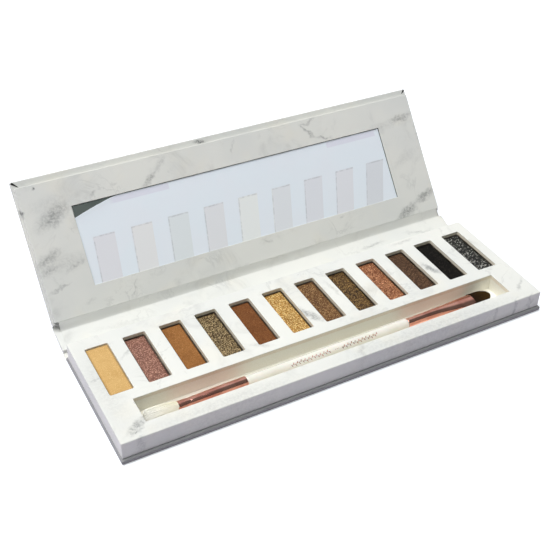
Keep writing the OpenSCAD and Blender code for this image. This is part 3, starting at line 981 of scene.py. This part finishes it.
def build_handle():
    """Lacquered handle with a tenon in each ferrule, and a sharp and a round shoulder."""
    low, high = local_box("brush_handle", AT_BRUSH)
    tenon_length, tenon = 8 * MM, 1.95 * MM
    start, end = low.x + tenon_length, high.x - tenon_length
    stations = [(low.x, tenon, tenon, 0.0), (start, tenon, tenon, 0.0)]
    count = 240
    for k in range(count + 1):
        share = k / count
        x = start + (end - start) * share
        radius = handle_radius(share)
        at_left = share < 0.5
        near = x - start if at_left else end - x
        shoulder, drop = (0.8 * MM, 0.3 * MM) if at_left else (1.7 * MM, 0.6 * MM)
        if near < shoulder:
            radius -= drop * (1 - math.sqrt(max(0.0, 1 - (1 - near / shoulder) ** 2)))
        stations.append((x, radius, radius, 0.0))
    stations += [(end, tenon, tenon, 0.0), (high.x, tenon, tenon, 0.0)]
    handle = loft("handle", stations, white_lacquer, 48)
    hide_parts("brush_handle")
    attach(handle, "brush")
    return start, end


def build_foil(start, end):
    """Two fine sprigs of leaves with three dots between, in foil: a generic ornament."""
    span = end - start
    skin = Skin()

    def on_handle(x, arc):
        """A point just over the handle, at a distance round it from the side towards the user."""
        radius = handle_radius((x - start) / span) + 0.03 * MM
        angle = TOWARDS_USER + arc / radius
        return (x, radius * math.cos(angle), radius * math.sin(angle))

    def leaf(x, arc, length, width, angle):
        """A pointed leaf laid on the handle, from its stem end."""
        steps = 8
        rows = []
        for k in range(steps + 1):
            share = k / steps
            half = width / 2 * math.sin(math.pi * share) ** 0.8 + 0.01 * MM
            along = length * share
            rows.append(skin.loop([
                on_handle(x + along * math.cos(angle) - across * math.sin(angle),
                          arc + along * math.sin(angle) + across * math.cos(angle))
                for across in (-half, 0, half)]))
        skin.grid(rows)

    pitch, wave, turn = 0.95 * MM, 0.16 * MM, 0.9
    for first, last in ((0.25, 0.5), (0.56, 0.8)):
        for k in range(int(span * (last - first) / pitch)):
            x = start + span * first + pitch * k
            arc = wave * math.sin(k * turn)
            slope = math.atan(wave * turn / pitch * math.cos(k * turn))
            side = -1 if k % 2 else 1
            leaf(x, arc, pitch * 1.15, 0.12 * MM, slope)
            leaf(x + 0.3 * MM, arc, 1.15 * MM, 0.34 * MM, side * math.radians(56))
    for k in (-1, 0, 1):
        leaf(start + span * 0.53 + k * 0.8 * MM, 0.0, 0.4 * MM, 0.34 * MM, 0.0)
    ornament = piece("foil_ornament", skin, [foil], AT_BRUSH, weighted=False)
    thick = ornament.modifiers.new("foil_thickness", "SOLIDIFY")
    thick.thickness = 0.03 * MM
    thick.offset = -1
    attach(ornament, "brush")


def dent(share, centre, reach, depth):
    """Depth in metres of a rounded dent, at a share of a ferrule's length."""
    return depth * MM * math.exp(-((share - centre) / reach) ** 2)


def ferrule_wall(low, high, widths, heights, groove, press=lambda share: 0.0):
    """Stations along a ferrule's outer wall, inside its rolled edges."""
    count = 90
    stations = []
    for k in range(count + 1):
        share = k / count
        x = low.x + (high.x - low.x) * share
        x = clamped(x, low.x + ROLLED_EDGE, high.x - ROLLED_EDGE)
        stations.append((x, eased(widths, share) * MM - groove(share),
                         eased(heights, share) * MM - groove(share) - press(share), 0.0))
    return stations


def build_round_ferrule():
    """Rose-gold ferrule with a rolled waist, pressed slightly flat where it grips the hair."""
    low, high = local_box("blending_ferrule", AT_BRUSH)
    widths = [(0.0, 2.6), (0.17, 2.42), (0.24, 2.36), (0.6, 2.58), (1.0, 2.62)]
    heights = [(0.0, 2.26), (0.17, 2.3), (0.24, 2.2), (0.6, 2.56), (1.0, 2.62)]
    waist, reach = 6.2 * MM / (high.x - low.x), 0.8 * MM / (high.x - low.x)
    end = eased(widths, 1) * MM - ROLLED_EDGE
    stations = [(low.x, FERRULE_BORE * 0.98, FERRULE_BORE * 0.93, 0.0),
                (low.x, eased(widths, 0) * MM - ROLLED_EDGE,
                 eased(heights, 0) * MM - ROLLED_EDGE, 0.0)]
    stations += ferrule_wall(low, high, widths, heights,
                             lambda share: dent(share, waist, reach, 0.16))
    stations += [(high.x, end, end, 0.0), (high.x, FERRULE_BORE, FERRULE_BORE, 0.0)]
    ferrule = loft("round_ferrule", stations, rose_gold, 110, True, 0.006)
    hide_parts("blending_ferrule")
    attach(ferrule, "brush")


def build_flat_ferrule():
    """Rose-gold ferrule that goes from round at the handle to a flat mouth, with press marks."""
    low, high = local_box("shader_ferrule", AT_BRUSH)
    half_mouth = (high.y - low.y) / 2
    widths = [(0.0, 2.36), (0.25, 2.4), (1.0, half_mouth / MM)]
    heights = [(0.0, 2.36), (0.35, 2.36), (0.8, 1.72), (1.0, 1.6)]
    stations = [(low.x, FERRULE_BORE, FERRULE_BORE, 0.0), (low.x, 2.3 * MM, 2.3 * MM, 0.0)]
    stations += ferrule_wall(
        low, high, widths, heights,
        lambda share: dent(share, 0.06, 0.01, 0.1) + dent(share, 0.1, 0.01, 0.1),
        lambda share: dent(share, 0.84, 0.03, 0.16))
    inner = half_mouth - 0.45 * MM
    stations += [(high.x, half_mouth - 0.08 * MM, 1.52 * MM, 0.0),
                 (high.x, inner, 1.15 * MM, 0.0), (high.x - 5.4 * MM, inner, 1.15 * MM, 0.0),
                 (high.x - 12 * MM, FERRULE_BORE, FERRULE_BORE * 0.8, 0.0)]
    ferrule = loft("flat_ferrule", stations, rose_gold, 110, True, 0.005)
    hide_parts("shader_ferrule")
    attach(ferrule, "brush")


def fluffy_radius(share):
    """Radius of the fluffy head from its neck to its dome, as a share of its largest."""
    return eased([(0.0, 0.72), (0.26, 0.98), (0.6, 1.04), (0.86, 1.0), (1.0, 0.88)], share)


def build_fluffy_head():
    """Cream bristles that bulge and close in a blunt dome, over a soft core."""
    low, high = local_box("blending_head", AT_BRUSH)
    neck = local_box("blending_ferrule", AT_BRUSH)[0].x
    length, floor = neck - low.x, low.z
    largest = (high.y - low.y) / 2 * 1.03
    hair = bristle("pale_bristle", (250, 246, 230), (254, 253, 247), neck, low.x, 0.12, 0.25, 0.2)
    stations = [(neck + 4.6 * MM, 1.7 * MM, 1.6 * MM, 0.0)]
    for k in range(15):
        share = k / 14 * 0.86
        cap = math.sqrt(max(0.02, 1 - max(0.0, (share - 0.6) / 0.27) ** 2))
        radius = largest * fluffy_radius(share) * 0.92 * cap
        flat = min(radius, -floor - 0.1 * MM)
        stations.append((neck - length * share, radius, (radius + flat) / 2, (radius - flat) / 2))
    core = loft("fluffy_core", stations, hair)
    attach(core, "brush")
    skin = Skin()
    rng = random.Random(11)
    strands, hair_width, grip = 4600, 0.09 * MM, 1.0 * MM
    for _ in range(strands):
        spread = math.sqrt(rng.random())
        angle = rng.random() * 2 * math.pi
        reach = 0.99 - 0.13 * (1 - math.sqrt(max(0.0, 1 - spread ** 2))) - 0.05 * rng.random()
        stray = 0.035 * rng.gauss(0, 1) * spread
        path = []
        for k in range(6):
            share = reach * k / 5
            radius = largest * 0.97 * spread * fluffy_radius(share) * (1 + stray * share)
            y, z = radius * math.cos(angle), radius * math.sin(angle)
            path.append(Vector((neck + grip - (length + grip) * share,
                                clamped(y, low.y, high.y),
                                clamped(z, floor + 0.08 * MM, high.z))))
        blade(skin, path, hair_width, Vector((0, math.cos(angle), math.sin(angle))), 0.3)
    head = piece("fluffy_bristles", skin, [hair], AT_BRUSH, sharp=80.0, weighted=False)
    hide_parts("blending_head")
    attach(head, "brush")


def build_flat_head():
    """Dark flat bristles cut to a rounded filbert tip, over a thin core."""
    low, high = local_box("shader_head", AT_BRUSH)
    mouth = local_box("shader_ferrule", AT_BRUSH)[1].x
    half_width = (high.y - low.y) / 2
    length = high.x - mouth
    hair = bristle("dark_bristle", (40, 24, 6), (66, 46, 8), mouth, high.x)
    stations = [(mouth - 4.6 * MM, half_width * 0.86, 0.9 * MM, 0.0)]
    for k in range(13):
        share = k / 12 * 0.95
        narrow = math.sqrt(max(0.03, 1 - max(0.0, (share - 0.48) / 0.49) ** 2))
        stations.append((mouth + length * share, half_width * 0.95 * narrow,
                         1.25 * MM * (1 - 0.55 * share), 0.0))
    core = loft("flat_core", stations, hair)
    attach(core, "brush")
    skin = Skin()
    rng = random.Random(23)
    strands, hair_width, grip = 2200, 0.05 * MM, 0.8 * MM
    for _ in range(strands):
        across = rng.uniform(-1, 1)
        level = rng.uniform(-1, 1)
        # The filbert outline: hairs at the sides are cut shorter
        reach = 1 - 0.5 * (1 - math.sqrt(max(0.0, 1 - (across * 0.98) ** 2)))
        reach -= 0.05 * rng.random()
        oval = math.sqrt(max(0.0, 1 - (across * 0.9) ** 2))
        path = []
        for k in range(5):
            share = reach * k / 4
            bow = 1 + 0.05 * math.sin(math.pi * share)
            y = half_width * 0.96 * across * bow * (1 - 0.1 * share)
            z = 1.38 * MM * level * oval * (1 - 0.5 * share)
            path.append(Vector((mouth - grip + (length + grip) * share,
                                clamped(y, -half_width, half_width), z)))
        blade(skin, path, hair_width, Vector((0, 0, 1)))
    head = piece("flat_bristles", skin, [hair], AT_BRUSH, sharp=80.0, weighted=False)
    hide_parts("shader_head")
    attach(head, "brush")


# ---------------- studio

def area_light(name, location, target, size, power):
    """A square soft box that faces a target."""
    data = bpy.data.lights.new(name, "AREA")
    data.shape = "SQUARE"
    data.size = size
    data.energy = power
    lamp = bpy.data.objects.new(name, data)
    bpy.context.scene.collection.objects.link(lamp)
    lamp.location = location
    lamp.rotation_mode = "QUATERNION"
    lamp.rotation_quaternion = (Vector(location) - Vector(target)).to_track_quat("Z", "Y")


def build_floor():
    half = 3.0
    steps = 12
    skin = Skin()
    rows = [skin.loop([(half * (2 * i / steps - 1), half * (2 * k / steps - 1), -0.0002)
                       for i in range(steps + 1)]) for k in range(steps + 1)]
    skin.grid(rows)
    floor = piece("studio_floor", skin, [floor_paper()], weighted=False)


def build_world():
    """Pale backdrop in view; for other rays a dim room in front and a bright wall behind."""
    world = bpy.data.worlds.new("studio")
    world.use_nodes = True
    graph = Graph(world.node_tree)
    room = graph.tree.nodes["Background"]
    rearward = graph.split(graph.add("TexCoord").outputs["Generated"])["Y"]
    walls = graph.mix(graph.step(rearward, 0.15, 0.6), (0.135, 0.147, 0.143, 1),
                      (0.62, 0.62, 0.63, 1))
    graph.feed(room.inputs["Color"], walls)
    backdrop = graph.add("Background", {"Color": (0.93, 0.93, 0.94, 1)})
    seen = graph.add("LightPath").outputs["Is Camera Ray"]
    choice = graph.add("MixShader", {0: seen, 1: room.outputs[0], 2: backdrop.outputs[0]})
    graph.feed(graph.tree.nodes["World Output"].inputs["Surface"], choice.outputs[0])
    bpy.context.scene.world = world


# Camera: the point it aims at, its direction from there, its roll, distance and lens
AIM = Vector((-1.042, 35.130, 10.0)) * MM
AZIMUTH, ELEVATION, ROLL = math.radians(-29.992), math.radians(38.099), math.radians(2.336)
DISTANCE, LENS = 454.010 * MM, 62.598


def build_camera():
    back = Vector((math.sin(AZIMUTH) * math.cos(ELEVATION),
                   -math.cos(AZIMUTH) * math.cos(ELEVATION), math.sin(ELEVATION)))
    level = Vector((math.cos(AZIMUTH), math.sin(AZIMUTH), 0))
    plumb = back.cross(level)
    right = math.cos(ROLL) * level + math.sin(ROLL) * plumb
    up = back.cross(right)
    data = bpy.data.cameras.new("camera")
    data.lens = LENS
    data.sensor_width = 36.0
    data.clip_start = 0.01
    camera = bpy.data.objects.new("camera", data)
    bpy.context.scene.collection.objects.link(camera)
    turn = Matrix((right, up, back)).transposed()
    camera.matrix_world = Matrix.Translation(AIM + back * DISTANCE) @ turn.to_4x4()
    bpy.context.scene.camera = camera


# ---------------- assembly

build_boards()
build_lid_panel()
build_mirror()
build_corner_folds()
build_creases()
build_tray()
for number in range(1, 13):
    powder_cake(number)
carry_the_rest()
handle_start, handle_end = build_handle()
build_foil(handle_start, handle_end)
build_round_ferrule()
build_flat_ferrule()
build_fluffy_head()
build_flat_head()
build_floor()
build_world()
build_camera()
area_light("key", (-0.62, 0.2, 2.32), (0, 0.03, 0), 1.7, 66.0)
bpy.context.scene.view_settings.view_transform = "Standard"
